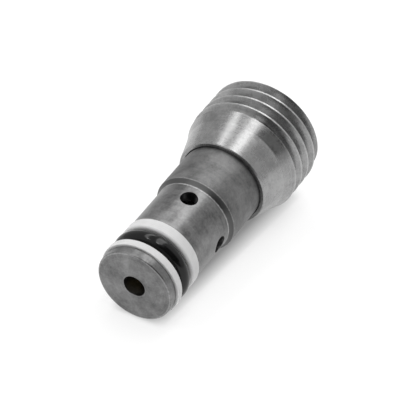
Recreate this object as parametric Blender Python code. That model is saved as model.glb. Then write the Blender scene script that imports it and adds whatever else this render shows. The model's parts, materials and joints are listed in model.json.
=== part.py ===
"""Screw-in hydraulic cartridge valve: a small pilot-opened check valve, M14 x 1.5, 29.45 mm long.

The valve axis is X. The nose points to -X and the wrench socket to +X. The origin is on the axis, in the
front plane of the threaded body. Stations along the axis are given as distances from the nose face.
"""
import math

import bmesh
import bpy
from mathutils import Matrix, Vector

# ------------------------------------------------------------------ driving dimensions (millimetres)
MM = 0.001

# stations along the axis, from the nose face
TOTAL_LENGTH = 29.45
COLLAR_FRONT = 18.95            # front plane of the threaded body, and the part's origin
CONE_SEAT_START = 12.5          # metal sealing cone of the sleeve
CONE_SEAT_END = 13.1
CROSS_HOLE_AT = 10.7
CONE_END = 22.2                 # the body's cone ends and the thread's lead begins
LEAD_END = 23.7                 # the lead meets the full thread diameter

# outside radii
NOSE_R = 4.5
SLEEVE_R = 4.92
COLLAR_R = 5.45
COLLAR_CHAMFER = 0.08
CONE_END_R = 6.33
THREAD_R = 7.0

# thread M14 x 1.5, right hand
PITCH = 1.5
THREAD_DEPTH = 0.92
CREST_FLAT = 0.19
ROOT_FLAT = 0.25
CREST_AT = 23.66                # a crest passes this station on the -Y side
GROOVE_FADE_IN = 22.9           # the thread's groove begins and is full depth a turn later
GROOVE_FULL = 24.4
REAR_CHAMFER = 0.22

# nose seal groove and its three rings
GROOVE_START = 1.1
GROOVE_END = 5.95
GROOVE_R = 2.88
RING_CLEAR = 0.03
FRONT_RING_WIDTH = 0.95
FRONT_RING_R = 4.74
REAR_RING_WIDTH = 1.5
REAR_RING_R = 4.62
O_RING_SECTION = 1.78
O_RING_AT = 3.49

# ports
PILOT_PORT_R = 1.3
CROSS_HOLE_R = 1.0
CROSS_HOLES = 4
CROSS_HOLE_ANGLE = 97.9         # degrees from +Y toward +Z
REAR_PORT_R = 2.2
SOCKET_AF = 6.0                 # across flats
SOCKET_FLOOR = 24.5

# bores of the sleeve
PISTON_BORE_R = 3.2
PISTON_BORE_START = 7.0
SEAT_BORE_R = 3.7
SEAT_BORE_START = 12.4
SLEEVE_END = 21.5

# bores of the threaded body
JOINT_R = 5.0
JOINT_END = 22.0
SPRING_POCKET_R = 2.8
SPRING_POCKET_END = 23.75

# pilot piston with its pin and seal
PISTON_R = 3.14
PISTON_START = 7.1
PISTON_LENGTH = 1.5
PISTON_SEAL_WIDTH = 0.7
PISTON_SEAL_GROOVE_R = 2.3
PIN_R = 0.75
PIN_END = 14.05

# seat insert, ball, guide and follower
FIT = 0.04                      # radial clearance of a fixed inner piece
SEAT_START = 12.45
SEAT_END = 15.2
SEAT_HOLE_R = 1.6
SEAT_MOUTH_R = 1.85
SEAT_GROOVE_START = 13.2
SEAT_GROOVE_END = 14.7
SEAT_GROOVE_R = 2.75
SEAT_O_RING_SECTION = 0.88
SEAT_BACKUP_WIDTH = 0.46
BALL_R = 2.38
BALL_GAP = 0.04
GUIDE_START = 15.25
GUIDE_END = 17.95
GUIDE_HOLE_R = 2.47
GUIDE_SLOT = 1.3
GUIDE_SLOTS = 4
FOLLOWER_START = 18.1
FOLLOWER_FLOOR = 20.0
FOLLOWER_END = 20.73
FOLLOWER_R = 3.6
FOLLOWER_SKIRT_R = 2.85
FOLLOWER_SPIGOT_R = 1.85
FLUTE_R = 1.1
FLUTES = 4
CUP_FLOOR = 19.3                # bottom of the follower's cup for the ball

# closing spring and the rings behind it
SPRING_START = 20.04
SPRING_END = 23.4
SPRING_MEAN_R = 2.34
SPRING_WIRE = 0.5
SPRING_TURNS = 3.5
SPRING_DEAD_TURNS = 0.75
SHIM_THICKNESS = 0.28
SHIM_HOLE_R = 1.95
JOINT_RING_HOLE_R = 3.2

# orifice screw in the pilot port
ORIFICE_START = 2.4
ORIFICE_LENGTH = 2.6
ORIFICE_R = 1.24
ORIFICE_HOLE_R = 0.35
ORIFICE_SLOT = 0.42
ORIFICE_SLOT_DEPTH = 0.7
ORIFICE_SLOT_ANGLE = 125.0

AROUND = 48                     # facets of the outer pieces, and of what meets them
AROUND_INSIDE = 36              # facets of the pieces inside
BALL_AT = SEAT_END - SEAT_MOUTH_R + (BALL_R + BALL_GAP) * math.sqrt(2.0)

MATERIALS = {
    "bearing_steel": ((0.30, 0.30, 0.31), 1.0, 0.38),
    "machined_steel": ((0.56, 0.56, 0.57), 1.0, 0.28),
    "hardened_steel": ((0.42, 0.42, 0.43), 1.0, 0.22),
    "ball_steel": ((0.66, 0.66, 0.67), 1.0, 0.08),
    "spring_steel": ((0.38, 0.38, 0.40), 1.0, 0.30),
    "copper": ((0.72, 0.40, 0.26), 1.0, 0.35),
    "brass": ((0.76, 0.60, 0.32), 1.0, 0.30),
    "ptfe": ((0.86, 0.86, 0.84), 0.0, 0.55),
    "nitrile": ((0.015, 0.015, 0.016), 0.0, 0.35),
}


# ------------------------------------------------------------------ helpers
def clear_scene():
    for item in list(bpy.data.objects):
        bpy.data.objects.remove(item, do_unlink=True)


def material(name):
    found = bpy.data.materials.get(name)
    if found:
        return found
    colour, metallic, roughness = MATERIALS[name]
    made = bpy.data.materials.new(name)
    made.use_nodes = True
    shader = made.node_tree.nodes["Principled BSDF"]
    shader.inputs["Base Color"].default_value = (*colour, 1.0)
    shader.inputs["Metallic"].default_value = metallic
    shader.inputs["Roughness"].default_value = roughness
    made.diffuse_color = (*colour, 1.0)
    return made


def link(name, data, station):
    """Place data, in metres, with its origin on the valve axis at a station."""
    thing = bpy.data.objects.new(name, data)
    bpy.context.scene.collection.objects.link(thing)
    thing.location = ((station - COLLAR_FRONT) * MM, 0.0, 0.0)
    return thing


def add_object(name, shape, slot, station):
    """Make a bmesh, drawn in millimetres with X as the station, into one object."""
    bmesh.ops.recalc_face_normals(shape, faces=shape.faces)
    bmesh.ops.translate(shape, verts=shape.verts, vec=(-station, 0.0, 0.0))
    bmesh.ops.scale(shape, verts=shape.verts, vec=(MM, MM, MM))
    mesh = bpy.data.meshes.new(name)
    shape.to_mesh(mesh)
    shape.free()
    if slot:
        mesh.materials.append(material(slot))
        mesh.shade_smooth()
        mesh.set_sharp_from_angle(angle=math.radians(32))
    return link(name, mesh, station)


def revolve(name, profile, slot, closed=False, count=AROUND):
    """Spin a profile of (station, radius) about the axis.

    An open profile starts and ends on the axis. A closed one goes back along its bore.
    """
    shape = bmesh.new()
    points = [shape.verts.new((s, r, 0.0)) for s, r in profile]
    for a, b in zip(points, points[1:]):
        shape.edges.new((a, b))
    if closed:
        shape.edges.new((points[-1], points[0]))
    bmesh.ops.spin(
        shape,
        geom=shape.verts[:] + shape.edges[:],
        cent=(0.0, 0.0, 0.0),
        axis=(1.0, 0.0, 0.0),
        angle=2.0 * math.pi,
        steps=count,
        use_merge=True,
    )
    bmesh.ops.remove_doubles(shape, verts=shape.verts, dist=1e-4)
    return add_object(name, shape, slot, profile[0][0])


def washer(name, start, end, inner, outer, slot, edge=0.04, count=AROUND):
    profile = [
        (start, outer - edge),
        (start + edge, outer),
        (end - edge, outer),
        (end, outer - edge),
        (end, inner),
        (start, inner),
    ]
    return revolve(name, profile, slot, closed=True, count=count)


def o_ring(name, station, mean_r, section, slot, facets=12, count=AROUND):
    profile = []
    for k in range(facets):
        angle = math.pi - 2.0 * math.pi * k / facets
        s = station + 0.5 * section * math.cos(angle)
        profile.append((s, mean_r + 0.5 * section * math.sin(angle)))
    return revolve(name, profile, slot, closed=True, count=count)


def cut(target, cutter):
    """Take a cutter's volume out of a solid, and hide the cutter."""
    cutter.hide_render = True
    cutter.display_type = "WIRE"
    step = target.modifiers.new("cut " + cutter.name, "BOOLEAN")
    step.operation = "DIFFERENCE"
    step.solver = "EXACT"
    step.object = cutter


def outward(angle):
    """Unit vector away from the axis, an angle in degrees from +Y toward +Z."""
    turn = math.radians(angle)
    return Vector((0.0, math.cos(turn), math.sin(turn)))


def rod(name, start, end, r, sides, lead=0.0):
    """A cutter: a round or many-sided bar between two points; lead turns it by a share of a side."""
    start = Vector(start)
    end = Vector(end)
    along = (end - start).to_track_quat("Z", "Y").to_matrix().to_4x4()
    roll = Matrix.Rotation(2.0 * math.pi * lead / sides, 4, "Z")
    shape = bmesh.new()
    bmesh.ops.create_cone(
        shape,
        cap_ends=True,
        segments=sides,
        radius1=r,
        radius2=r,
        depth=(end - start).length,
        matrix=Matrix.Translation((start + end) / 2.0) @ along @ roll,
    )
    return add_object(name, shape, None, start.x)


def block(name, start, end, angle, inner, outer, width):
    """A cutter: a box between two stations that reaches from one radius to another at an angle."""
    shape = bmesh.new()
    middle = Matrix.Translation((0.5 * (start + end), 0.0, 0.0))
    turn = Matrix.Rotation(math.radians(angle), 4, "X")
    offset = Matrix.Translation((0.0, 0.5 * (inner + outer), 0.0))
    size = Matrix.Diagonal((end - start, outer - inner, width, 1.0))
    bmesh.ops.create_cube(shape, size=1.0, matrix=middle @ turn @ offset @ size)
    return add_object(name, shape, None, start)


# ------------------------------------------------------------------ sleeve and nose seal
def build_sleeve():
    edge = 0.14
    lip = 0.05
    profile = [
        (0.0, NOSE_R - edge),
        (edge, NOSE_R),
        (GROOVE_START - lip, NOSE_R),
        (GROOVE_START, NOSE_R - lip),
        (GROOVE_START, GROOVE_R),
        (GROOVE_END, GROOVE_R),
        (GROOVE_END, NOSE_R - lip),
        (GROOVE_END + lip, NOSE_R),
        (CONE_SEAT_START, NOSE_R),
        (CONE_SEAT_END, SLEEVE_R),
        (SLEEVE_END - edge, SLEEVE_R),
        (SLEEVE_END, SLEEVE_R - edge),
        (SLEEVE_END, SEAT_BORE_R + 2.0 * lip),
        (SLEEVE_END - 2.0 * lip, SEAT_BORE_R),
        (SEAT_BORE_START, SEAT_BORE_R),
        (SEAT_BORE_START, PISTON_BORE_R),
        (PISTON_BORE_START, PISTON_BORE_R),
        (PISTON_BORE_START, PILOT_PORT_R),
        (lip, PILOT_PORT_R),
        (0.0, PILOT_PORT_R + lip),
    ]
    sleeve = revolve("nose_sleeve", profile, "bearing_steel", closed=True)
    for k in range(CROSS_HOLES):
        out = outward(CROSS_HOLE_ANGLE + 360.0 * k / CROSS_HOLES)
        middle = Vector((CROSS_HOLE_AT, 0.0, 0.0))
        inner = middle + 2.0 * out
        outer = middle + 6.0 * out
        cut(sleeve, rod(f"cross_drill_{k + 1}", inner, outer, CROSS_HOLE_R, 20, 0.5))


def build_nose_seal():
    edge = 0.06
    inner = GROOVE_R + RING_CLEAR
    front = GROOVE_START + RING_CLEAR
    washer("front_backup_ring", front, front + FRONT_RING_WIDTH, inner, FRONT_RING_R, "ptfe", edge)
    mean = inner + 0.5 * O_RING_SECTION
    o_ring("nose_o_ring", O_RING_AT, mean, O_RING_SECTION, "nitrile")
    back = GROOVE_END - RING_CLEAR
    washer("rear_backup_ring", back - REAR_RING_WIDTH, back, inner, REAR_RING_R, "ptfe", edge)


# ------------------------------------------------------------------ pilot side
def build_orifice_screw():
    end = ORIFICE_START + ORIFICE_LENGTH
    edge = 0.12
    profile = [
        (ORIFICE_START, ORIFICE_R - edge),
        (ORIFICE_START + edge, ORIFICE_R),
        (end - edge, ORIFICE_R),
        (end, ORIFICE_R - edge),
        (end, ORIFICE_HOLE_R + 0.2),
        (end - 0.3, ORIFICE_HOLE_R),
        (ORIFICE_START, ORIFICE_HOLE_R),
    ]
    screw = revolve("pilot_orifice_screw", profile, "brass", closed=True, count=AROUND_INSIDE)
    reach = ORIFICE_R + 0.3
    floor = ORIFICE_START + ORIFICE_SLOT_DEPTH
    front = ORIFICE_START - 0.5
    cut(screw, block("driver_slot", front, floor, ORIFICE_SLOT_ANGLE, -reach, reach, ORIFICE_SLOT))


def build_pilot_piston():
    end = PISTON_START + PISTON_LENGTH
    middle = PISTON_START + 0.5 * PISTON_LENGTH
    half = 0.5 * PISTON_SEAL_WIDTH
    edge = 0.12
    bore = PIN_R + 0.02
    profile = [
        (PISTON_START, bore),
        (PISTON_START, PISTON_R - edge),
        (PISTON_START + edge, PISTON_R),
        (middle - half, PISTON_R),
        (middle - half, PISTON_SEAL_GROOVE_R),
        (middle + half, PISTON_SEAL_GROOVE_R),
        (middle + half, PISTON_R),
        (end - edge, PISTON_R),
        (end, PISTON_R - edge),
        (end, bore),
    ]
    count = AROUND_INSIDE
    revolve("pilot_piston", profile, "hardened_steel", closed=True, count=count)
    seal = half - 0.05
    inner = PISTON_R - 0.21
    outer = PISTON_R + 0.02
    washer("piston_seal_ring", middle - seal, middle + seal, inner, outer, "ptfe", 0.03, count)
    section = inner - PISTON_SEAL_GROOVE_R - 0.08
    mean = PISTON_SEAL_GROOVE_R + 0.04 + 0.5 * section
    o_ring("piston_seal_energiser", middle, mean, section, "nitrile", 8, count)
    tip = 0.1
    pin = [
        (PISTON_START, 0.0),
        (PISTON_START, PIN_R - tip),
        (PISTON_START + tip, PIN_R),
        (PIN_END - tip, PIN_R),
        (PIN_END, PIN_R - tip),
        (PIN_END, 0.0),
    ]
    revolve("push_pin", pin, "hardened_steel", count=count)


# ------------------------------------------------------------------ seat side
def build_seat():
    outer = SEAT_BORE_R - FIT
    mouth = SEAT_MOUTH_R - SEAT_HOLE_R
    profile = [
        (SEAT_START, outer - 0.15),
        (SEAT_START + 0.15, outer),
        (SEAT_GROOVE_START, outer),
        (SEAT_GROOVE_START, SEAT_GROOVE_R),
        (SEAT_GROOVE_END, SEAT_GROOVE_R),
        (SEAT_GROOVE_END, outer),
        (SEAT_END - 0.1, outer),
        (SEAT_END, outer - 0.1),
        (SEAT_END, SEAT_MOUTH_R),
        (SEAT_END - mouth, SEAT_HOLE_R),
        (SEAT_START + 0.3, SEAT_HOLE_R),
        (SEAT_START, SEAT_HOLE_R + 0.3),
    ]
    revolve("valve_seat", profile, "hardened_steel", closed=True)
    section = SEAT_O_RING_SECTION
    at = SEAT_GROOVE_START + 0.05 + 0.5 * section
    inner = SEAT_GROOVE_R + FIT
    o_ring("seat_o_ring", at, inner + 0.5 * section, section, "nitrile", 8)
    back = SEAT_GROOVE_END - RING_CLEAR
    washer("seat_backup_ring", back - SEAT_BACKUP_WIDTH, back, inner, outer, "ptfe")


def build_ball():
    shape = bmesh.new()
    poles = Matrix.Rotation(math.radians(90.0), 4, "Y")
    lie = Matrix.Translation((BALL_AT, 0.0, 0.0)) @ poles
    bmesh.ops.create_uvsphere(shape, u_segments=32, v_segments=16, radius=BALL_R, matrix=lie)
    add_object("valve_ball", shape, "ball_steel", BALL_AT)


def build_guide():
    outer = SEAT_BORE_R - FIT
    guide = washer("ball_guide", GUIDE_START, GUIDE_END, GUIDE_HOLE_R, outer, "machined_steel", 0.08)
    slot_start = GUIDE_START + 0.55
    for k in range(GUIDE_SLOTS):
        angle = 45.0 + 360.0 * k / GUIDE_SLOTS
        name = f"guide_slot_{k + 1}"
        cut(guide, block(name, slot_start, GUIDE_END + 0.5, angle, 1.5, 4.5, GUIDE_SLOT))


def build_follower():
    apex = BALL_AT + (BALL_R + BALL_GAP) * math.sqrt(2.0)
    profile = [
        (CUP_FLOOR, 0.0),
        (CUP_FLOOR, apex - CUP_FLOOR),
        (FOLLOWER_START, apex - FOLLOWER_START),
        (FOLLOWER_START, FOLLOWER_R - 0.2),
        (FOLLOWER_START + 0.2, FOLLOWER_R),
        (FOLLOWER_END - 0.08, FOLLOWER_R),
        (FOLLOWER_END, FOLLOWER_R - 0.08),
        (FOLLOWER_END, FOLLOWER_SKIRT_R),
        (FOLLOWER_FLOOR, FOLLOWER_SKIRT_R),
        (FOLLOWER_FLOOR, FOLLOWER_SPIGOT_R),
        (FOLLOWER_END - 0.2, FOLLOWER_SPIGOT_R),
        (FOLLOWER_END, FOLLOWER_SPIGOT_R - 0.2),
        (FOLLOWER_END, 0.0),
    ]
    follower = revolve("spring_follower", profile, "machined_steel")
    for k in range(FLUTES):
        centre = (FOLLOWER_R + 0.15) * outward(360.0 * k / FLUTES)
        front = centre + Vector((FOLLOWER_START - 0.5, 0.0, 0.0))
        back = centre + Vector((FOLLOWER_END + 0.5, 0.0, 0.0))
        cut(follower, rod(f"flute_{k + 1}", front, back, FLUTE_R, 16, 0.5))


def build_spring():
    """A compression spring of round wire, its end turns nearly closed."""
    steps = int(SPRING_TURNS * 24)
    dead_pitch = SPRING_WIRE + 0.05
    live_turns = SPRING_TURNS - 2.0 * SPRING_DEAD_TURNS
    live_length = SPRING_END - SPRING_START - SPRING_WIRE - 2.0 * SPRING_DEAD_TURNS * dead_pitch
    live_pitch = live_length / live_turns
    curve = bpy.data.curves.new("closing_spring", "CURVE")
    curve.dimensions = "3D"
    curve.bevel_depth = 0.5 * SPRING_WIRE * MM
    curve.bevel_resolution = 2
    curve.use_fill_caps = True
    wire = curve.splines.new("POLY")
    wire.points.add(steps)
    for k, point in enumerate(wire.points):
        turn = SPRING_TURNS * k / steps
        front_dead = min(turn, SPRING_DEAD_TURNS)
        live = min(max(turn - SPRING_DEAD_TURNS, 0.0), live_turns)
        rear_dead = turn - front_dead - live
        s = 0.5 * SPRING_WIRE + dead_pitch * (front_dead + rear_dead) + live_pitch * live
        spot = SPRING_MEAN_R * outward(360.0 * turn)
        point.co = (s * MM, spot.y * MM, spot.z * MM, 1.0)
    curve.materials.append(material("spring_steel"))
    link("closing_spring", curve, SPRING_START)


def build_rear_rings():
    back = SPRING_POCKET_END - RING_CLEAR
    outer = SPRING_POCKET_R - FIT
    washer("spring_shim", back - SHIM_THICKNESS, back, SHIM_HOLE_R, outer, "spring_steel")
    start = SLEEVE_END + RING_CLEAR
    end = JOINT_END - RING_CLEAR
    washer("joint_seal_ring", start, end, JOINT_RING_HOLE_R, JOINT_R - 0.06, "copper", 0.1)


# ------------------------------------------------------------------ threaded body
def outline_r(s):
    """Radius of the body's plain outside: a long cone, a lead, a cylinder and a small rear chamfer."""
    cone = COLLAR_R + (CONE_END_R - COLLAR_R) * (s - COLLAR_FRONT) / (CONE_END - COLLAR_FRONT)
    lead = CONE_END_R + (THREAD_R - CONE_END_R) * (s - CONE_END) / (LEAD_END - CONE_END)
    rear = THREAD_R - REAR_CHAMFER + (TOTAL_LENGTH - s)
    return min(max(cone, lead), THREAD_R, rear)


def thread_r(phase, s):
    """Radius of the thread form at a station and a phase in turns, 0 at the middle of the crest."""
    away = abs(phase - round(phase)) * PITCH
    crest = 0.5 * CREST_FLAT
    root = 0.5 * (PITCH - ROOT_FLAT)
    share = min(max((away - crest) / (root - crest), 0.0), 1.0)
    grown = min(max((s - GROOVE_FADE_IN) / (GROOVE_FULL - GROOVE_FADE_IN), 0.0), 1.0)
    return THREAD_R - THREAD_DEPTH * grown * share


def thread_blank():
    """The body's solid outside: a grid whose rows follow the thread and stop at the two end planes.

    The helix is right-handed: a crest that is at CREST_AT on the -Y side goes back as it turns toward -Z.
    """
    crest = 0.5 * CREST_FLAT / PITCH
    root = 0.5 * ROOT_FLAT / PITCH
    phases = [root - 0.5, -0.25, -crest, crest, 0.25, 0.5 - root]
    first_lap = math.floor((COLLAR_FRONT - CREST_AT) / PITCH) - 1
    last_lap = math.ceil((TOTAL_LENGTH - CREST_AT) / PITCH) + 1
    rows = [lap + phase for lap in range(first_lap, last_lap + 1) for phase in phases]
    shape = bmesh.new()
    columns = []
    for k in range(AROUND + 1):
        turn = k / AROUND - 0.5
        out = outward(360.0 * k / AROUND)
        column = []
        for row in rows:
            s = CREST_AT + PITCH * (row + turn)
            s = min(max(s, COLLAR_FRONT), TOTAL_LENGTH)
            r = min(thread_r((s - CREST_AT) / PITCH - turn, s), outline_r(s))
            column.append(shape.verts.new((s, r * out.y, r * out.z)))
        columns.append(column)
    for left, right in zip(columns, columns[1:]):
        for i in range(len(rows) - 1):
            shape.faces.new((left[i], left[i + 1], right[i + 1]))
            shape.faces.new((left[i], right[i + 1], right[i]))
    bmesh.ops.remove_doubles(shape, verts=shape.verts, dist=1e-4)
    open_edges = [edge for edge in shape.edges if edge.is_boundary]
    bmesh.ops.holes_fill(shape, edges=open_edges)
    return add_object("threaded_body", shape, "machined_steel", COLLAR_FRONT)


def build_threaded_body():
    body = thread_blank()
    past = 1.0
    bore = [
        (COLLAR_FRONT - past, 0.0),
        (COLLAR_FRONT - past, JOINT_R),
        (JOINT_END, JOINT_R),
        (JOINT_END, SPRING_POCKET_R),
        (SPRING_POCKET_END, SPRING_POCKET_R),
        (SPRING_POCKET_END, REAR_PORT_R),
        (TOTAL_LENGTH + past, REAR_PORT_R),
        (TOTAL_LENGTH + past, 0.0),
    ]
    cut(body, revolve("body_bore", bore, None))
    chamfer_end = COLLAR_FRONT + COLLAR_CHAMFER
    corner = [
        (COLLAR_FRONT - past, COLLAR_R - COLLAR_CHAMFER - past),
        (chamfer_end + past, COLLAR_R + past),
        (COLLAR_FRONT - past, COLLAR_R + past),
    ]
    cut(body, revolve("collar_chamfer", corner, None, closed=True))
    corner_r = SOCKET_AF / math.sqrt(3.0)
    cut(body, rod("wrench_socket", (SOCKET_FLOOR, 0, 0), (TOTAL_LENGTH + past, 0, 0), corner_r, 6))
    mouth = [
        (TOTAL_LENGTH - 0.45, 0.0),
        (TOTAL_LENGTH - 0.45, corner_r - 0.3),
        (TOTAL_LENGTH + 0.3, corner_r + 0.45),
        (TOTAL_LENGTH + 0.3, 0.0),
    ]
    cut(body, revolve("socket_mouth", mouth, None))


# ------------------------------------------------------------------ build
clear_scene()
build_sleeve()
build_nose_seal()
build_orifice_screw()
build_pilot_piston()
build_seat()
build_ball()
build_guide()
build_follower()
build_spring()
build_rear_rings()
build_threaded_body()
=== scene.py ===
"""Looks of a small screw-in cartridge valve, lying on a pale studio floor.

The sleeve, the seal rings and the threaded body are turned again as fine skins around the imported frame.
Inside, the ball and the closing spring are made again too. The other pieces keep their CAD shape and get
a finish. The valve axis lies along X. Outlines are written in millimetres, as stations from the nose face
and radii from the axis.
"""

import json
import math

import bpy
import numpy as np
from mathutils import Matrix, Vector

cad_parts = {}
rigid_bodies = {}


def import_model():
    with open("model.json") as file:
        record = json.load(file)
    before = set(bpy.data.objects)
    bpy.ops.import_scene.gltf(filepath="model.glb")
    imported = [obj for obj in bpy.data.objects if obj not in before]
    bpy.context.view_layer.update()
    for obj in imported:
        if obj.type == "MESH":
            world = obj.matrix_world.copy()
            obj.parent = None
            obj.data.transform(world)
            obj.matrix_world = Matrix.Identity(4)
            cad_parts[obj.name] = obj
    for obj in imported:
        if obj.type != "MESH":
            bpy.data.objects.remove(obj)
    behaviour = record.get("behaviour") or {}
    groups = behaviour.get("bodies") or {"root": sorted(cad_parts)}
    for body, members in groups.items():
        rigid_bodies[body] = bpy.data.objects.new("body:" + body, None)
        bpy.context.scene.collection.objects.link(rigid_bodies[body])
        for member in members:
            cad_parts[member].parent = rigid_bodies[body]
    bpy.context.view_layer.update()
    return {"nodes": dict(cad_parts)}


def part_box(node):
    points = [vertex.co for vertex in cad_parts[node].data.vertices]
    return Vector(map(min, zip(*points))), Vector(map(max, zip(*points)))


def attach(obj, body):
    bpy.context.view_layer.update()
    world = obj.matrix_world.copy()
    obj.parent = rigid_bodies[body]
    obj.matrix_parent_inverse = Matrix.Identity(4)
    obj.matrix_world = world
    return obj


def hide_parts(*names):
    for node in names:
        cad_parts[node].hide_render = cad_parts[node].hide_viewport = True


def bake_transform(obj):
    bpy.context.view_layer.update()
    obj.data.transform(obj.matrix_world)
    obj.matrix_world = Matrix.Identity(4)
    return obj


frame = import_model()

MM = 0.001
ROOT = "cartridge"
AROUND = 360                    # columns of every turned skin

# ------------------------------------------------------------------ sizes read from the frame
NOSE_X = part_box("nose_sleeve")[0][0]


def station(node, end):
    """Distance of a node's front (0) or rear (1) plane from the nose face."""
    return (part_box(node)[end][0] - NOSE_X) / MM


def outer_r(node):
    """Largest radius of a node."""
    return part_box(node)[1][1] / MM


SLEEVE_END = station("nose_sleeve", 1)
SLEEVE_R = outer_r("nose_sleeve")
COLLAR_FRONT = station("threaded_body", 0)
TOTAL_LENGTH = station("threaded_body", 1)
THREAD_R = outer_r("threaded_body")

# ------------------------------------------------------------------ sizes of the turned details
NOSE_R = 4.5
GROOVE_START = 1.1
GROOVE_END = 5.95
GROOVE_R = 2.88
CONE_SEAT_START = 12.5
CONE_SEAT_END = 13.1
PILOT_PORT_R = 1.3
PISTON_BORE_R = 3.2
PISTON_BORE_START = 7.0
SEAT_BORE_R = 3.7
SEAT_BORE_START = 12.4
CROSS_HOLE_AT = 10.7
CROSS_HOLE_R = 1.0
CROSS_HOLES = 4
CROSS_HOLE_ANGLE = 97.9         # degrees from +Y toward +Z

COLLAR_R = 5.45
COLLAR_CHAMFER = 0.08
CONE_END = 22.2                 # the cone ends and the thread's lead begins
CONE_END_R = 6.33
LEAD_END = 23.7                 # the lead meets the full thread diameter
PITCH = 1.5
THREAD_DEPTH = 0.92
CREST_FLAT = 0.19
ROOT_FLAT = 0.25
CREST_AT = 23.66                # a crest passes this station on the -Y side
GROOVE_FADE_IN = 22.9           # the thread's groove begins, and is full depth a turn later
GROOVE_FULL = 24.4
REAR_CHAMFER = 0.22
JOINT_R = 5.0
JOINT_END = 22.0
SPRING_POCKET_R = 2.8
SPRING_POCKET_END = 23.75
REAR_PORT_R = 2.2
SOCKET_AF = 6.0
SOCKET_FLOOR = 24.5

SPRING_MEAN_R = 2.34
SPRING_WIRE = 0.5
SPRING_TURNS = 3.5
SPRING_DEAD_TURNS = 0.75


# ------------------------------------------------------------------ outlines
def soften(corners, steps=5):
    """Round the corners of a closed outline of (station, radius, fillet). Gives (station, radius, normal)."""
    points = []
    for i, (s, r, fillet) in enumerate(corners):
        here = Vector((s, r))
        back = Vector(corners[i - 1][:2]) - here
        ahead = Vector(corners[(i + 1) % len(corners)][:2]) - here
        a = back.normalized()
        b = ahead.normalized()
        half = 0.5 * math.acos(max(-1.0, min(1.0, a.dot(b))))
        reach = min(fillet / math.tan(half), 0.45 * back.length, 0.45 * ahead.length)
        arc_r = reach * math.tan(half)
        middle = here + (a + b).normalized() * (arc_r / math.sin(half))
        first = (here + a * reach - middle).normalized()
        last = (here + b * reach - middle).normalized()
        sweep = math.pi - 2.0 * half
        convex = a.x * b.y - a.y * b.x > 0.0
        for k in range(steps + 1):
            t = k / steps
            ahead_share = math.sin(t * sweep) / math.sin(sweep)
            back_share = math.sin((1.0 - t) * sweep) / math.sin(sweep)
            out = first * back_share + last * ahead_share
            spot = middle + out * arc_r
            points.append((spot.x, spot.y, out if convex else -out))
    return points


def subdivide(outline, longest):
    """Split the straight stretches of a softened outline, so that no row is longer than a given length."""
    rows = []
    for i, (s, r, out) in enumerate(outline):
        rows.append((s, r, out))
        far_s, far_r, far_out = outline[(i + 1) % len(outline)]
        length = math.hypot(far_s - s, far_r - r)
        if (out - far_out).length < 1e-4 and length > longest:
            cuts = math.ceil(length / longest)
            for k in range(1, cuts):
                t = k / cuts
                rows.append((s + (far_s - s) * t, r + (far_r - r) * t, out))
    return rows


# ------------------------------------------------------------------ skins
def angles():
    return 2.0 * np.pi * np.arange(AROUND + 1) / AROUND


def turned(rows, closed=True):
    """A patch, stations and radii with their normals, from rows of an outline."""
    if closed:
        rows = rows + rows[:1]
    shape = (len(rows), AROUND + 1)
    s = np.empty(shape)
    r = np.empty(shape)
    ns = np.empty(shape)
    nr = np.empty(shape)
    for i, (row_s, row_r, out) in enumerate(rows):
        s[i], r[i], ns[i], nr[i] = row_s, row_r, out.x, out.y
    return {"s": s, "r": r, "ns": ns, "nr": nr, "nt": np.zeros(shape)}


def patch_arrays(patch):
    """Corner places in metres and normals of a patch, both as rows x columns x 3."""
    turn = angles()
    c, d = np.cos(turn), np.sin(turn)
    c[-1], d[-1] = c[0], d[0]
    place = np.stack([NOSE_X + patch["s"] * MM, patch["r"] * c * MM, patch["r"] * d * MM], -1)
    out_y = patch["nr"] * c - patch["nt"] * d
    out_z = patch["nr"] * d + patch["nt"] * c
    return place, np.stack([patch["ns"], out_y, out_z], -1)


def skin(name, patches):
    """One mesh object from patches that share their border points."""
    corners, normals = [], []
    for patch in patches:
        place, out = patch_arrays(patch)
        for source, store in ((place, corners), (out, normals)):
            quads = [source[:-1, :-1], source[:-1, 1:], source[1:, 1:], source[1:, :-1]]
            store.append(np.stack(quads, -2).reshape(-1, 4, 3))
    corners = np.concatenate(corners)
    normals = np.concatenate(normals)
    keys = np.round(corners.reshape(-1, 3) / 2e-8).astype(np.int64)
    _, first, index = np.unique(keys, axis=0, return_index=True, return_inverse=True)
    verts = corners.reshape(-1, 3)[first]
    quads = index.reshape(-1, 4)
    faces, loops = [], []
    for quad, around in zip(quads.tolist(), normals):
        kept = [m for m in range(4) if quad[m] != quad[m - 1]]
        if len(set(quad[m] for m in kept)) > 2:
            faces.append([quad[m] for m in kept])
            loops.extend(around[m] for m in kept)
    mesh = bpy.data.meshes.new(name)
    mesh.from_pydata(verts.tolist(), [], faces)
    mesh.update()
    mesh.shade_smooth()
    loops = np.array(loops)
    loops /= np.linalg.norm(loops, axis=1, keepdims=True)
    mesh.normals_split_custom_set(loops.tolist())
    thing = bpy.data.objects.new(name, mesh)
    bpy.context.scene.collection.objects.link(thing)
    return thing


def settle(thing, node, body=ROOT):
    """Put a finished piece in place of its CAD node."""
    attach(thing, body)
    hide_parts(node)


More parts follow.
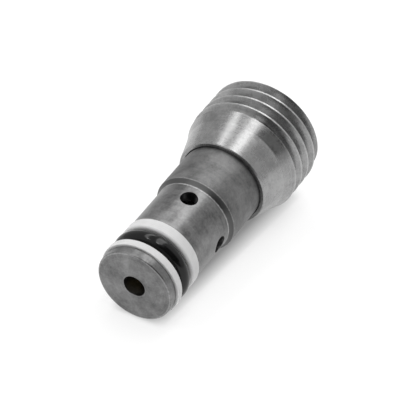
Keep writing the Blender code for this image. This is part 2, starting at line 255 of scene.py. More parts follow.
# ------------------------------------------------------------------ node helpers
class Nodes:
    """Short calls for one material's node tree."""

    def __init__(self, name):
        self.material = bpy.data.materials.new(name)
        self.material.use_nodes = True
        self.tree = self.material.node_tree
        self.shader = self.tree.nodes["Principled BSDF"]

    def add(self, kind, **values):
        node = self.tree.nodes.new(kind)
        for key, value in values.items():
            setattr(node, key, value)
        return node

    def join(self, value, socket):
        if isinstance(value, (int, float, tuple)):
            socket.default_value = value
        else:
            self.tree.links.new(value, socket)

    def math(self, operation, a, b=0.0):
        node = self.add("ShaderNodeMath", operation=operation)
        for value, socket in zip((a, b), node.inputs):
            self.join(value, socket)
        return node.outputs[0]

    def combine(self, x, y, z):
        node = self.add("ShaderNodeCombineXYZ")
        for value, socket in zip((x, y, z), node.inputs):
            self.join(value, socket)
        return node.outputs[0]

    def noise(self, vector, scale, detail=3.0, roughness=0.55):
        node = self.add("ShaderNodeTexNoise")
        self.join(vector, node.inputs["Vector"])
        node.inputs["Scale"].default_value = scale
        node.inputs["Detail"].default_value = detail
        node.inputs["Roughness"].default_value = roughness
        return node.outputs["Fac"]

    def remap(self, value, low, high, to_low, to_high):
        node = self.add("ShaderNodeMapRange")
        for item, socket in zip((value, low, high, to_low, to_high), node.inputs):
            self.join(item, socket)
        return node.outputs["Result"]

    def near(self, value, centre, reach):
        """1 where a value is at the centre, falling to 0 at a distance of reach."""
        return self.remap(self.math("ABSOLUTE", self.math("SUBTRACT", value, centre)), 0.0, reach, 1.0, 0.0)

    def blend(self, share, first, second):
        node = self.add("ShaderNodeMix", data_type="RGBA")
        self.join(share, node.inputs["Factor"])
        colours = [socket for socket in node.inputs if socket.type == "RGBA"]
        self.join(first, colours[0])
        self.join(second, colours[1])
        return [socket for socket in node.outputs if socket.type == "RGBA"][0]

    def ramp(self, value, stops):
        node = self.add("ShaderNodeValToRGB")
        self.join(value, node.inputs["Fac"])
        points = node.color_ramp.elements
        while len(points) < len(stops):
            points.new(0.5)
        for point, (place, colour) in zip(points, stops):
            point.position = place
            point.color = (*colour, 1.0)
        return node.outputs["Color"]

    def bump(self, height, distance, strength=1.0, under=None):
        node = self.add("ShaderNodeBump")
        node.inputs["Distance"].default_value = distance
        node.inputs["Strength"].default_value = strength
        self.join(height, node.inputs["Height"])
        if under is not None:
            self.join(under, node.inputs["Normal"])
        return node.outputs["Normal"]

    def axis_frame(self):
        """Object coordinates: station along the axis, radius from it, and the whole vector, in metres."""
        place = self.add("ShaderNodeTexCoord").outputs["Object"]
        parts = self.add("ShaderNodeSeparateXYZ")
        self.join(place, parts.inputs[0])
        x, y, z = parts.outputs
        r = self.math("SQRT", self.math("ADD", self.math("MULTIPLY", y, y), self.math("MULTIPLY", z, z)))
        return x, r, place


def grey(value):
    return (value, value, value)


# ------------------------------------------------------------------ materials
WORN_EDGE = 0.62                # grey of worn metal
WORN_ROUGHER = 0.30             # added roughness of worn metal
SMEAR = 0.06                    # how far the turning marks wander, mm
POLISH_SPREAD = 0.07            # roughness varies this much either way
GRAIN_HEIGHT = 0.0000015        # metres


def turned_metal(name, dark, light, rough, mark_height, mottle, marks_per_mm, edges=None, matt=None):
    """Lathe-turned metal: fine rings that follow the cutting tool, mottled colour and uneven polish.

    Two optional functions of the place: edges gives the share of bright, worn metal, and matt gives the share
    of the dark colour and how much rougher the finish is. The height of the marks is in metres.
    """
    n = Nodes(name)
    x, r, place = n.axis_frame()
    along = n.math("MULTIPLY", n.math("ADD", x, r), 1.0 / MM)
    smear = n.math("MULTIPLY", n.noise(place, 260.0, 2.0), SMEAR)
    feed = n.math("ADD", along, smear)
    lines = n.noise(n.combine(feed, 0.0, 0.0), marks_per_mm, 3.0, 0.7)
    coarse = n.noise(n.combine(feed, 0.0, 0.0), marks_per_mm * 0.22, 2.0, 0.5)
    cloud = n.noise(place, 420.0, 5.0, 0.68)
    speck = n.noise(place, 3600.0, 3.0, 0.7)
    grain = n.noise(place, 9000.0, 2.0, 0.6)
    tone = n.math("ADD", n.math("MULTIPLY", lines, 0.25), n.math("MULTIPLY", cloud, mottle))
    tone = n.math("ADD", tone, n.math("MULTIPLY", coarse, 0.15))
    tone = n.math("ADD", tone, n.math("MULTIPLY", speck, 0.25))
    top = 0.65 + mottle
    colour = n.ramp(n.remap(tone, 0.38 * top, 0.62 * top, 0.0, 1.0), [(0.0, dark), (1.0, light)])
    polish = n.math("ADD", n.math("MULTIPLY", lines, 0.4), n.math("MULTIPLY", cloud, 0.6))
    uneven = n.remap(polish, 0.35, 0.65, rough - POLISH_SPREAD, rough + POLISH_SPREAD)
    if matt is not None:
        darker, rougher = matt(n, x)
        uneven = n.math("ADD", uneven, rougher)
        colour = n.blend(darker, colour, (*dark, 1.0))
    if edges is not None:
        worn = n.math("MULTIPLY", edges(n, x, r), n.remap(speck, 0.35, 0.6, 0.35, 1.0))
        colour = n.blend(worn, colour, (*grey(WORN_EDGE), 1.0))
        uneven = n.math("ADD", uneven, n.math("MULTIPLY", worn, WORN_ROUGHER))
    n.join(colour, n.shader.inputs["Base Color"])
    n.join(uneven, n.shader.inputs["Roughness"])
    n.shader.inputs["Metallic"].default_value = 1.0
    low = n.bump(n.math("ADD", lines, n.math("MULTIPLY", coarse, 0.8)), mark_height)
    n.join(n.bump(grain, GRAIN_HEIGHT, 0.8, low), n.shader.inputs["Normal"])
    return n.material


def sleeve_edges(n, x, r):
    """Worn metal on the nose's rim and on both rims of the sealing cone."""
    at_rim = n.remap(r, (NOSE_R - 0.25) * MM, (NOSE_R - 0.15) * MM, 0.0, 0.35)
    rim = n.math("MULTIPLY", n.near(x, NOSE_X, 0.10 * MM), at_rim)
    seat_front = n.math("MULTIPLY", n.near(x, NOSE_X + CONE_SEAT_START * MM, 0.10 * MM), 0.8)
    seat_back = n.math("MULTIPLY", n.near(x, NOSE_X + CONE_SEAT_END * MM, 0.09 * MM), 0.45)
    outside = n.remap(r, (NOSE_R - 0.1) * MM, (NOSE_R - 0.02) * MM, 0.0, 1.0)
    seats = n.math("MULTIPLY", n.math("MAXIMUM", seat_front, seat_back), outside)
    return n.math("MAXIMUM", rim, seats)


def duller_rear(n, x):
    """The sealing cone is darker all around, and the sleeve behind it is a little duller than in front."""
    behind = n.remap(x, NOSE_X + CONE_SEAT_START * MM, NOSE_X + CONE_SEAT_END * MM, 0.0, 1.0)
    middle = NOSE_X + 0.5 * (CONE_SEAT_START + CONE_SEAT_END) * MM
    darker_seat = n.remap(n.near(x, middle, 0.4 * MM), 0.0, 0.4, 0.0, 0.9)
    return n.math("MAXIMUM", darker_seat, n.math("MULTIPLY", behind, 0.15)), n.math("MULTIPLY", behind, 0.17)


def body_edges(n, x, r):
    """Worn metal on the thread's crests."""
    crests = n.remap(r, (THREAD_R - 0.09) * MM, (THREAD_R - 0.02) * MM, 0.0, 1.0)
    return n.math("MULTIPLY", crests, 0.45)


def ptfe():
    """White PTFE, cut from bar: soft mottling and faint cutting marks."""
    n = Nodes("ptfe_white")
    x, r, place = n.axis_frame()
    cloud = n.noise(place, 420.0, 4.0, 0.6)
    along = n.math("MULTIPLY", n.math("ADD", x, r), 1.0 / MM)
    skive = n.noise(n.combine(along, 0.0, 0.0), 7.0, 3.0, 0.6)
    tone = n.math("ADD", n.math("MULTIPLY", cloud, 0.6), n.math("MULTIPLY", skive, 0.4))
    colour = n.ramp(n.remap(tone, 0.3, 0.7, 0.0, 1.0), [(0.0, grey(0.54)), (1.0, grey(0.69))])
    n.join(colour, n.shader.inputs["Base Color"])
    n.join(n.remap(cloud, 0.3, 0.7, 0.46, 0.62), n.shader.inputs["Roughness"])
    n.shader.inputs["IOR"].default_value = 1.36
    n.shader.inputs["Subsurface Weight"].default_value = 0.25
    n.shader.inputs["Subsurface Scale"].default_value = 0.0004
    n.shader.inputs["Subsurface Radius"].default_value = (1.0, 1.0, 1.0)
    low = n.bump(skive, 0.000012)
    n.join(n.bump(cloud, 0.00003, 0.6, low), n.shader.inputs["Normal"])
    return n.material


def nitrile():
    """Black rubber with a moulded, slightly oily skin."""
    n = Nodes("nitrile_black")
    place = n.axis_frame()[2]
    cloud = n.noise(place, 500.0, 4.0, 0.6)
    grain = n.noise(place, 5200.0, 3.0, 0.6)
    colour = n.ramp(n.remap(cloud, 0.3, 0.7, 0.0, 1.0), [(0.0, grey(0.002)), (1.0, grey(0.005))])
    n.join(colour, n.shader.inputs["Base Color"])
    n.join(n.remap(cloud, 0.3, 0.7, 0.08, 0.15), n.shader.inputs["Roughness"])
    n.shader.inputs["IOR"].default_value = 1.38
    n.join(n.bump(grain, 0.000004, 0.7), n.shader.inputs["Normal"])
    return n.material


# ------------------------------------------------------------------ sleeve
def make_sleeve(finish):
    """The sleeve: outside with its seal groove and sealing cone, inside with the pilot port and the bores."""
    corners = [
        (0.0, NOSE_R, 0.17),
        (GROOVE_START, NOSE_R, 0.05),
        (GROOVE_START, GROOVE_R, 0.1),
        (GROOVE_END, GROOVE_R, 0.1),
        (GROOVE_END, NOSE_R, 0.05),
        (CONE_SEAT_START, NOSE_R, 0.22),
        (CONE_SEAT_END, SLEEVE_R, 0.22),
        (SLEEVE_END, SLEEVE_R, 0.12),
        (SLEEVE_END, SEAT_BORE_R, 0.08),
        (SEAT_BORE_START, SEAT_BORE_R, 0.05),
        (SEAT_BORE_START, PISTON_BORE_R, 0.05),
        (PISTON_BORE_START, PISTON_BORE_R, 0.05),
        (PISTON_BORE_START, PILOT_PORT_R, 0.05),
        (0.0, PILOT_PORT_R, 0.07),
    ]
    rows = subdivide(soften(corners), 0.25)
    sleeve = skin("turned_sleeve", [turned(rows)])
    drill_holes(sleeve)
    sleeve.data.materials.append(finish)
    settle(sleeve, "nose_sleeve")


def drill_holes(sleeve):
    """Cut the cross holes, break their edges, and shade the turned faces by the turning."""
    sides = 72
    drill_reach = (2.0, 6.0)                    # from the axis
    for k in range(CROSS_HOLES):
        turn = math.radians(CROSS_HOLE_ANGLE + 360.0 * k / CROSS_HOLES)
        out = Vector((0.0, math.cos(turn), math.sin(turn)))
        side = out.cross(Vector((1.0, 0.0, 0.0)))
        middle = Vector((NOSE_X + CROSS_HOLE_AT * MM, 0.0, 0.0))
        rings = []
        for reach in drill_reach:
            for m in range(sides):
                # the third of a step keeps the drill's points off the sleeve's own rows
                a = 2.0 * math.pi * (m + 0.37) / sides
                spot = middle + out * (reach * MM)
                spot.x += CROSS_HOLE_R * math.cos(a) * MM
                rings.append(spot + side * (CROSS_HOLE_R * math.sin(a) * MM))
        faces = [list(range(sides)), list(range(sides, 2 * sides))[::-1]]
        for m in range(sides):
            n = (m + 1) % sides
            faces.append([m + sides, n + sides, n, m])
        mesh = bpy.data.meshes.new(f"drill_{k + 1}")
        mesh.from_pydata([tuple(v) for v in rings], [], faces)
        cutter = bpy.data.objects.new(mesh.name, mesh)
        bpy.context.scene.collection.objects.link(cutter)
        if mesh.polygons[0].normal.dot(out) > 0.0:
            mesh.flip_normals()
        step = sleeve.modifiers.new(mesh.name, "BOOLEAN")
        step.operation = "DIFFERENCE"
        step.solver = "EXACT"
        step.object = cutter
    edge = sleeve.modifiers.new("edge break", "BEVEL")
    edge.width = 0.06 * MM
    edge.segments = 3
    edge.limit_method = "ANGLE"
    edge.angle_limit = math.radians(40.0)
    depsgraph = bpy.context.evaluated_depsgraph_get()
    made = bpy.data.meshes.new_from_object(sleeve.evaluated_get(depsgraph))
    sleeve.modifiers.clear()
    sleeve.data = made
    for k in range(CROSS_HOLES):
        bpy.data.objects.remove(bpy.data.objects[f"drill_{k + 1}"], do_unlink=True)
    shade_turning(made)


def shade_turning(mesh):
    """Corner normals: exact ones on the cylinders and end faces, smooth ones elsewhere."""
    same_way = 0.9995                           # cosine above which two directions count as one
    mesh.shade_smooth()
    mesh.update()
    loops = np.empty(len(mesh.loops) * 3)
    mesh.corner_normals.foreach_get("vector", loops)
    loops = loops.reshape(-1, 3)
    for face in mesh.polygons:
        middle = face.center
        r = math.hypot(middle.y, middle.z)
        out = Vector((0.0, middle.y / r, middle.z / r))
        if abs(face.normal.dot(out)) > same_way:
            sign = 1.0 if face.normal.dot(out) > 0.0 else -1.0
            for loop in face.loop_indices:
                v = mesh.vertices[mesh.loops[loop].vertex_index].co
                length = math.hypot(v.y, v.z)
                loops[loop] = (0.0, sign * v.y / length, sign * v.z / length)
        elif abs(face.normal.x) > same_way:
            for loop in face.loop_indices:
                loops[loop] = face.normal
    mesh.normals_split_custom_set(loops.tolist())


# ------------------------------------------------------------------ seal rings
def make_ring(name, node, corners, finish, wave, seed):
    """A turned ring with rounded edges; wave lets its outline wander a little around the axis."""
    rows = subdivide(soften(corners, 6), 0.12)
    patch = turned(rows)
    turn = angles()[None, :]
    wander = np.sin(2.0 * turn + seed)
    wander = wander + 0.6 * np.sin(5.0 * turn + 2.3 * seed)
    wander = wander + 0.3 * np.sin(11.0 * turn + seed)
    patch["s"] = patch["s"] + wave * wander
    ring = skin(name, [patch])
    ring.data.materials.append(finish)
    settle(ring, node)


def make_backup_rings(finish):
    """The two white rings; the rear one has a rounder front edge, where the O-ring leans on it."""
    for place, front_edge, seed in (("front", 0.10, 1.3), ("rear", 0.30, 4.1)):
        node = f"{place}_backup_ring"
        start, end = station(node, 0), station(node, 1)
        outer = outer_r(node)
        inner = GROOVE_R + 0.03
        trim = 0.015
        corners = [
            (start + trim, outer, front_edge),
            (end - trim, outer, 0.1),
            (end - trim, inner, 0.08),
            (start + trim, inner, 0.08),
        ]
        make_ring(f"{place}_ptfe_ring", node, corners, finish, 0.006, seed)


def make_o_ring(finish):
    """The O-ring, round in section."""
    node = "nose_o_ring"
    middle = 0.5 * (station(node, 0) + station(node, 1))
    section = 0.5 * (station(node, 1) - station(node, 0))
    centre_r = outer_r(node) - section
    rows = []
    steps = 48
    for k in range(steps):
        turn = math.pi - 2.0 * math.pi * k / steps
        out = Vector((math.cos(turn), math.sin(turn)))
        rows.append((middle + section * out.x, centre_r + section * out.y, out))
    ring = skin("rubber_o_ring", [turned(rows)])
    ring.data.materials.append(finish)
    settle(ring, node)


# ------------------------------------------------------------------ threaded body
ROOT_SOFT = 0.05                # lengths over which the body's edges are rounded
CONE_SOFT = 0.008
LEAD_SOFT = 0.02
CREST_SOFT = 0.018
REAR_SOFT = 0.03
HELIX_FROM = 1.6                # the helical rows begin this far behind the collar's front
HELIX_TO = 0.3                  # and end this far before the rear face
SOCKET_MOUTH = 0.15             # the socket's countersink beyond its corners


def soft_min(a, b, blend):
    """The smaller of two, rounded over a length where they meet."""
    h = np.clip(0.5 + 0.5 * (b - a) / blend, 0.0, 1.0)
    return b * (1.0 - h) + a * h - blend * h * (1.0 - h)


def soft_max(a, b, blend):
    return -soft_min(-a, -b, blend)


def body_r(s, turn):
    """Radius of the body's outside at a station and a turn, from -0.5 to 0.5, counted from the -Y side."""
    phase = (s - CREST_AT) / PITCH - turn
    away = np.abs(phase - np.round(phase)) * PITCH
    slope = THREAD_DEPTH / (0.5 * (PITCH - ROOT_FLAT) - 0.5 * CREST_FLAT)
    drop = soft_min((away - 0.5 * CREST_FLAT) * slope, np.full_like(s, THREAD_DEPTH), ROOT_SOFT)
    grown = np.clip((s - GROOVE_FADE_IN) / (GROOVE_FULL - GROOVE_FADE_IN), 0.0, 1.0)
    form = THREAD_R - drop * grown
    cone = COLLAR_R + (CONE_END_R - COLLAR_R) * (s - COLLAR_FRONT) / (CONE_END - COLLAR_FRONT)
    lead = CONE_END_R + (THREAD_R - CONE_END_R) * (s - CONE_END) / (LEAD_END - CONE_END)
    plain = soft_min(soft_max(cone, lead, CONE_SOFT), np.full_like(s, THREAD_R), LEAD_SOFT)
    rear = THREAD_R - REAR_CHAMFER + (TOTAL_LENGTH - s)
    return soft_min(soft_min(form, plain, CREST_SOFT), rear, REAR_SOFT)


def body_patch(stations):
    """A patch of the outside; stations is rows x columns."""
    turn = (np.arange(AROUND + 1) / AROUND - 0.5)[None, :] + np.zeros_like(stations)
    r = body_r(stations, turn)
    ds = 1e-4
    dt = 1e-5
    along = (body_r(stations + ds, turn) - body_r(stations - ds, turn)) / (2.0 * ds)
    across = (body_r(stations, turn + dt) - body_r(stations, turn - dt)) / (2.0 * dt * 2.0 * np.pi * r)
    return {"s": stations, "r": r, "ns": -along, "nr": np.ones_like(r), "nt": -across}


def flat_patch(s0, r0, s1, r1):
    """A straight band between two borders, each given by stations and radii around the axis."""
    zero = np.zeros(AROUND + 1)
    s = np.stack([s0 + zero, s1 + zero])
    r = np.stack([r0 + zero, r1 + zero])
    ds, dr = s[1] - s[0], r[1] - r[0]
    length = np.hypot(ds, dr)
    ns, nr = -dr / length, ds / length
    return {"s": s, "r": r, "ns": np.stack([ns, ns]), "nr": np.stack([nr, nr]), "nt": np.zeros_like(s)}


def off_facet():
    """Angle of each column from the middle of its wall of the wrench socket."""
    turn = angles() - math.pi / 6.0
    return turn - np.round(turn / (math.pi / 3.0)) * (math.pi / 3.0)


def hex_patch(s0, s1, r):
    """The six flat walls of the wrench socket, between two borders."""
    off = off_facet()
    zero = np.zeros(AROUND + 1)
    s = np.stack([s0 + zero, s1 + zero])
    return {
        "s": s,
        "r": np.stack([r, r]),
        "ns": np.zeros_like(s),
        "nr": np.stack([-np.cos(off), -np.cos(off)]),
        "nt": np.stack([np.sin(off), np.sin(off)]),
    }


def make_body(finish):
    """The threaded body: collar, cone, thread, and the stepped hole through it with its wrench socket."""
    step = PITCH / 60.0
    lead_in = COLLAR_FRONT + HELIX_FROM
    run_out = TOTAL_LENGTH - HELIX_TO
    turn = (np.arange(AROUND + 1) / AROUND - 0.5)[None, :]
    count = int((run_out - lead_in + 2.0 * PITCH) / step)
    rows = lead_in - PITCH + step * np.arange(count)[:, None] + PITCH * turn
    helix = np.clip(rows, lead_in, run_out)
    slope = (CONE_END_R - COLLAR_R) / (CONE_END - COLLAR_FRONT)
    reach = COLLAR_CHAMFER / (1.0 - slope)      # the chamfer's depth where it meets the cone
    inner_edge = COLLAR_R - COLLAR_CHAMFER
    corners = [
        (JOINT_END, JOINT_R, 0.01),
        (COLLAR_FRONT, JOINT_R, 0.03),
        (COLLAR_FRONT, inner_edge, 0.04),
        (COLLAR_FRONT + reach, inner_edge + reach, 0.08),
        (lead_in, COLLAR_R + slope * (lead_in - COLLAR_FRONT), 0.01),
    ]
    steps = 5
    collar = soften(corners, steps)[steps + 1:-steps - 1]
    cone_rows = np.linspace(collar[-1][0], lead_in, 8)[:, None] + np.zeros_like(turn)
    tail = np.linspace(run_out, TOTAL_LENGTH, 16)[:, None] + np.zeros_like(turn)
    tail_patch = body_patch(tail)
    patches = [turned(collar, closed=False), body_patch(cone_rows), body_patch(helix), tail_patch]

    # joint bore, spring pocket and rear port, from front to back
    patches.append(flat_patch(JOINT_END, JOINT_R, collar[0][0], JOINT_R))
    patches.append(flat_patch(JOINT_END, SPRING_POCKET_R, JOINT_END, JOINT_R))
    patches.append(flat_patch(SPRING_POCKET_END, SPRING_POCKET_R, JOINT_END, SPRING_POCKET_R))
    patches.append(flat_patch(SPRING_POCKET_END, REAR_PORT_R, SPRING_POCKET_END, SPRING_POCKET_R))
    patches.append(flat_patch(SOCKET_FLOOR, REAR_PORT_R, SPRING_POCKET_END, REAR_PORT_R))

    # wrench socket with its countersunk mouth
    hex_r = 0.5 * SOCKET_AF / np.cos(off_facet())
    mouth_r = SOCKET_AF / math.sqrt(3.0) + SOCKET_MOUTH
    mouth_s = TOTAL_LENGTH - (mouth_r - hex_r)
    patches.append(flat_patch(SOCKET_FLOOR, hex_r, SOCKET_FLOOR, REAR_PORT_R))
    patches.append(hex_patch(mouth_s, SOCKET_FLOOR, hex_r))
    patches.append(flat_patch(TOTAL_LENGTH, mouth_r, mouth_s, hex_r))
    patches.append(flat_patch(TOTAL_LENGTH, tail_patch["r"][-1], TOTAL_LENGTH, mouth_r))
    body = skin("turned_body", patches)
    body.data.materials.append(finish)
    settle(body, "threaded_body")


# ------------------------------------------------------------------ pieces inside
def make_ball(finish):
    """The valve ball as a smooth sphere."""
    low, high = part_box("valve_ball")
    bpy.ops.mesh.primitive_uv_sphere_add(
        segments=96,
        ring_count=48,
        radius=0.5 * (high[0] - low[0]),
        location=[0.5 * (a + b) for a, b in zip(low, high)],
        rotation=(0.0, 0.5 * math.pi, 0.0),
    )
    ball = bpy.context.object
    ball.name = "ground_ball"
    ball.data.shade_smooth()
    ball.data.materials.append(finish)
    settle(ball, "valve_ball", "closing_element")


def make_spring(finish):
    """The closing spring as a fine coil, with closed dead turns at both ends."""
    node = "closing_spring"
    start, end = station(node, 0), station(node, 1)
    dead_pitch = SPRING_WIRE + 0.05
    live_turns = SPRING_TURNS - 2.0 * SPRING_DEAD_TURNS
    live_pitch = (end - start - SPRING_WIRE - 2.0 * SPRING_DEAD_TURNS * dead_pitch) / live_turns
    curve = bpy.data.curves.new("coil", "CURVE")
    curve.dimensions = "3D"
    curve.bevel_depth = 0.5 * SPRING_WIRE * MM
    curve.bevel_resolution = 7
    curve.use_fill_caps = True
    wire = curve.splines.new("POLY")
    steps = int(SPRING_TURNS * 72)
    wire.points.add(steps)
    for k, point in enumerate(wire.points):
        turn = SPRING_TURNS * k / steps
        front_dead = min(turn, SPRING_DEAD_TURNS)
        live = min(max(turn - SPRING_DEAD_TURNS, 0.0), live_turns)
        rear_dead = turn - front_dead - live
        s = start + 0.5 * SPRING_WIRE + dead_pitch * (front_dead + rear_dead) + live_pitch * live
        y = SPRING_MEAN_R * math.cos(2.0 * math.pi * turn) * MM
        z = SPRING_MEAN_R * math.sin(2.0 * math.pi * turn) * MM
        point.co = (NOSE_X + s * MM, y, z, 1.0)
    coil = bpy.data.objects.new("coil", curve)
    bpy.context.scene.collection.objects.link(coil)
    depsgraph = bpy.context.evaluated_depsgraph_get()
    mesh = bpy.data.meshes.new_from_object(coil.evaluated_get(depsgraph))
    bpy.data.objects.remove(coil, do_unlink=True)
    mesh.materials.clear()
    mesh.materials.append(finish)
    mesh.shade_smooth()
    spring = bpy.data.objects.new("wire_spring", mesh)
    bpy.context.scene.collection.objects.link(spring)
    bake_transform(spring)
    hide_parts(node)


def finish_nodes(finishes):
    """Give the CAD nodes that stay their material."""
    for node, finish in finishes.items():
        thing = frame["nodes"][node]
        thing.data.materials.clear()
        thing.data.materials.append(finish)


# ------------------------------------------------------------------ studio
VIEW_AZIMUTH = -60.42           # degrees; 0 looks at the -Y side
VIEW_ELEVATION = 42.08
VIEW_DISTANCE = 0.2222
AIM = Vector((-0.00364, 0.00065, 0.00003))
FLOOR_GAP = 0.06                # between the valve and the floor, mm
FLOOR_GLOW = 0.71               # emission of the open floor
# glow of the floor in the painted contact shadow under and beside the valve
PAINTED_SHADOW_GLOW = 0.20               # and under the valve


def toward(azimuth, elevation):
    """Unit vector from the part, azimuth 0 at -Y and growing toward +X."""
    a = math.radians(azimuth)
    e = math.radians(elevation)
    return Vector((math.sin(a) * math.cos(e), -math.cos(a) * math.cos(e), math.sin(e)))


def add_camera():
    data = bpy.data.cameras.new("camera")
    data.sensor_width = 36.0
    data.lens = 180.0
    data.clip_start = 0.005
    data.clip_end = 10.0
    camera = bpy.data.objects.new("camera", data)
    bpy.context.scene.collection.objects.link(camera)
    back = toward(VIEW_AZIMUTH, VIEW_ELEVATION)
    camera.location = AIM + back * VIEW_DISTANCE
    camera.rotation_euler = back.to_track_quat("Z", "Y").to_euler()
    bpy.context.scene.camera = camera


def floor_frame():
    """Height of the floor under the origin, and its normal: the valve lies on a ring and on its thread."""
    ring_s = 0.5 * (station("front_backup_ring", 0) + station("front_backup_ring", 1))
    ring_r = outer_r("front_backup_ring")
    rest_x = NOSE_X + ring_s * MM
    thread_x = NOSE_X + LEAD_END * MM
    slope = (THREAD_R - ring_r) * MM / (thread_x - rest_x)
    normal = Vector((slope, 0.0, 1.0)).normalized()
    height = -(ring_r * MM) + slope * rest_x
    return height - FLOOR_GAP * MM, normal


def add_floor():
    """A pale matt floor that the valve rests on. It glows like a lit table, and glows less under and beside
    the valve as a painted contact shadow.
    """
    height, normal = floor_frame()
    half = 1.2
    mesh = bpy.data.meshes.new("floor")
    corners = [(-half, -half, 0), (half, -half, 0), (half, half, 0), (-half, half, 0)]
    mesh.from_pydata(corners, [], [(0, 1, 2, 3)])
    floor = bpy.data.objects.new("floor", mesh)
    bpy.context.scene.collection.objects.link(floor)
    floor.location = (0.0, 0.0, height)
    floor.rotation_euler = (0.0, math.atan2(normal.x, normal.z), 0.0)
    n = Nodes("pale_floor")
    n.shader.inputs["Base Color"].default_value = (*grey(0.33), 1.0)
    n.shader.inputs["Roughness"].default_value = 0.9
    n.shader.inputs["Specular IOR Level"].default_value = 0.1
    n.shader.inputs["Emission Color"].default_value = (1.0, 1.0, 1.0, 1.0)
    place = n.add("ShaderNodeSeparateXYZ")
    n.join(n.add("ShaderNodeTexCoord").outputs["Object"], place.inputs[0])
    x, y = place.outputs[:2]
    front, rear = NOSE_X, NOSE_X + TOTAL_LENGTH * MM
    # painted contact shadow: the glow falls off near the valve's outline along its whole length, which also
    # darkens the floor that the metal reflects
    half_width = n.remap(x, front, rear, NOSE_R * MM, THREAD_R * MM)
    off_axis = n.math("DIVIDE", n.math("ABSOLUTE", y), half_width)
    beside = n.remap(off_axis, 0.40, 0.78, 1.0, 0.0)
    behind_front = n.remap(x, front - 0.5 * MM, front + 1.5 * MM, 0.0, 1.0)
    before_rear = n.remap(x, rear - 1.0 * MM, rear + 1.0 * MM, 1.0, 0.0)
    under = n.math("MULTIPLY", beside, n.math("MULTIPLY", behind_front, before_rear))
    n.join(n.remap(under, 0.0, 1.0, FLOOR_GLOW, PAINTED_SHADOW_GLOW), n.shader.inputs["Emission Strength"])
    mesh.materials.append(n.material)


def add_strip(name, location, length, width, radiance):
    """A soft strip light that lies along X and shines on the origin; its power follows from its radiance."""
    data = bpy.data.lights.new(name, "AREA")
    data.shape = "RECTANGLE"
    data.size = length
    data.size_y = width
    data.energy = radiance * math.pi * length * width
    light = bpy.data.objects.new(name, data)
    bpy.context.scene.collection.objects.link(light)
    back = Vector(location).normalized()
    along = Vector((1.0, 0.0, 0.0))
    across = back.cross(along).normalized()
    along = across.cross(back)
    turn = Matrix((along, across, back)).transposed()
    light.matrix_world = Matrix.Translation(location) @ turn.to_4x4()
    light.visible_camera = False


def add_flag(name, corners, tone):
    """A dark card that only shiny surfaces see."""
    mesh = bpy.data.meshes.new(name)
    mesh.from_pydata(corners, [], [(0, 1, 2, 3)])
    flag = bpy.data.objects.new(name, mesh)
    bpy.context.scene.collection.objects.link(flag)
    n = Nodes(name)
    n.shader.inputs["Base Color"].default_value = (*grey(tone), 1.0)
    n.shader.inputs["Roughness"].default_value = 1.0
    mesh.materials.append(n.material)
    flag.visible_camera = False
    flag.visible_diffuse = False
    flag.visible_shadow = False


def add_low_card():
    """A card just over the floor in front of the nose."""
    height, normal = floor_frame()
    corners = []
    for x, y in ((-0.050, -0.036), (-0.045, 0.002), (-0.80, 0.03), (-0.80, -0.38)):
        corners.append((x, y, height - x * normal.x / normal.z + MM))
    add_flag("low_card", corners, 0.16)


def add_tall_card():
    """A card that stands beside the valve, as high as the lights."""
    left, right = -0.50, 0.02
    low, high = 0.08, 0.62
    y = -0.25
    add_flag("tall_card", [(left, y, low), (right, y, low), (right, y, high), (left, y, high)], 0.04)


DIM_EDGE = (0.62, 0.86)         # cosines from the dim side, where the sky starts to darken and is darkest


def set_world(level, dim, toward_dim):
    """An even sky with a dim opening on one side, where the photographer stands."""
    world = bpy.data.worlds.new("studio")
    bpy.context.scene.world = world
    world.use_nodes = True
    tree = world.node_tree
    facing = tree.nodes.new("ShaderNodeVectorMath")
    facing.operation = "DOT_PRODUCT"
    tree.links.new(tree.nodes.new("ShaderNodeTexCoord").outputs["Generated"], facing.inputs[0])
    facing.inputs[1].default_value = Vector(toward_dim).normalized()
    share = tree.nodes.new("ShaderNodeMapRange")
    share.interpolation_type = "SMOOTHSTEP"
    tree.links.new(facing.outputs["Value"], share.inputs["Value"])
    share.inputs["From Min"].default_value = DIM_EDGE[0]
    share.inputs["From Max"].default_value = DIM_EDGE[1]
    share.inputs["To Min"].default_value = level
    share.inputs["To Max"].default_value = dim
    sky = tree.nodes["Background"]
    sky.inputs["Color"].default_value = (1.0, 1.0, 1.0, 1.0)
    tree.links.new(share.outputs["Result"], sky.inputs["Strength"])


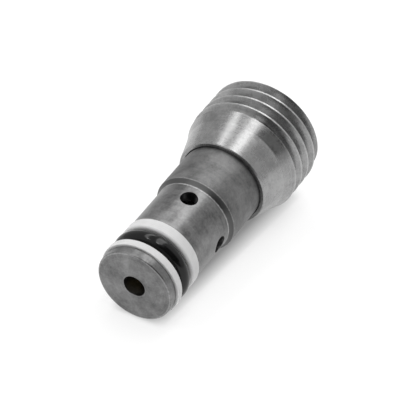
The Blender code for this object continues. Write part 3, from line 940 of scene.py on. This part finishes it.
# ------------------------------------------------------------------ build
dark_steel = turned_metal(
    "sleeve_steel",
    grey(0.095),
    grey(0.265),
    rough=0.37,
    mark_height=4e-6,
    mottle=0.8,
    marks_per_mm=9.0,
    edges=sleeve_edges,
    matt=duller_rear,
)
bright_steel = turned_metal(
    "body_steel",
    grey(0.205),
    grey(0.385),
    rough=0.27,
    mark_height=3e-6,
    mottle=0.5,
    marks_per_mm=11.0,
    edges=body_edges,
)
inner_steel = turned_metal(
    "ground_steel", grey(0.30), grey(0.42), rough=0.22, mark_height=2e-6, mottle=0.3, marks_per_mm=14.0
)
ball_steel = turned_metal(
    "ball_steel", grey(0.62), grey(0.70), rough=0.09, mark_height=2e-7, mottle=0.3, marks_per_mm=20.0
)
spring_steel = turned_metal(
    "spring_wire", grey(0.26), grey(0.40), rough=0.28, mark_height=2e-6, mottle=0.6, marks_per_mm=20.0
)
copper_dark, copper_light = (0.52, 0.27, 0.16), (0.72, 0.42, 0.28)
copper = turned_metal(
    "soft_copper", copper_dark, copper_light, rough=0.32, mark_height=2e-6, mottle=0.6, marks_per_mm=9.0
)
brass_dark, brass_light = (0.54, 0.40, 0.17), (0.74, 0.58, 0.30)
brass = turned_metal(
    "turned_brass", brass_dark, brass_light, rough=0.28, mark_height=3e-6, mottle=0.5, marks_per_mm=9.0
)
white = ptfe()
rubber = nitrile()

make_sleeve(dark_steel)
make_backup_rings(white)
make_o_ring(rubber)
make_body(bright_steel)
make_ball(ball_steel)
make_spring(spring_steel)
finish_nodes(
    {
        "pilot_orifice_screw": brass,
        "pilot_piston": inner_steel,
        "piston_seal_ring": white,
        "piston_seal_energiser": rubber,
        "push_pin": inner_steel,
        "valve_seat": inner_steel,
        "seat_o_ring": rubber,
        "seat_backup_ring": white,
        "ball_guide": bright_steel,
        "spring_follower": bright_steel,
        "spring_shim": spring_steel,
        "joint_seal_ring": copper,
    }
)

add_camera()
add_floor()
set_world(level=0.72, dim=0.10, toward_dim=(-0.75, -0.60, 0.30))
add_strip("near_strip", (0.11, -0.038, 0.30), length=0.56, width=0.105, radiance=2.75)
add_strip("far_strip", (0.11, 0.150, 0.30), length=0.56, width=0.060, radiance=2.9)
add_strip("near_glint", (-0.14, -0.02, 0.28), length=0.05, width=0.035, radiance=9.0)
add_strip("far_glint", (-0.14, 0.12, 0.27), length=0.05, width=0.035, radiance=8.0)
add_low_card()
add_tall_card()
bpy.context.scene.view_settings.view_transform = "Standard"
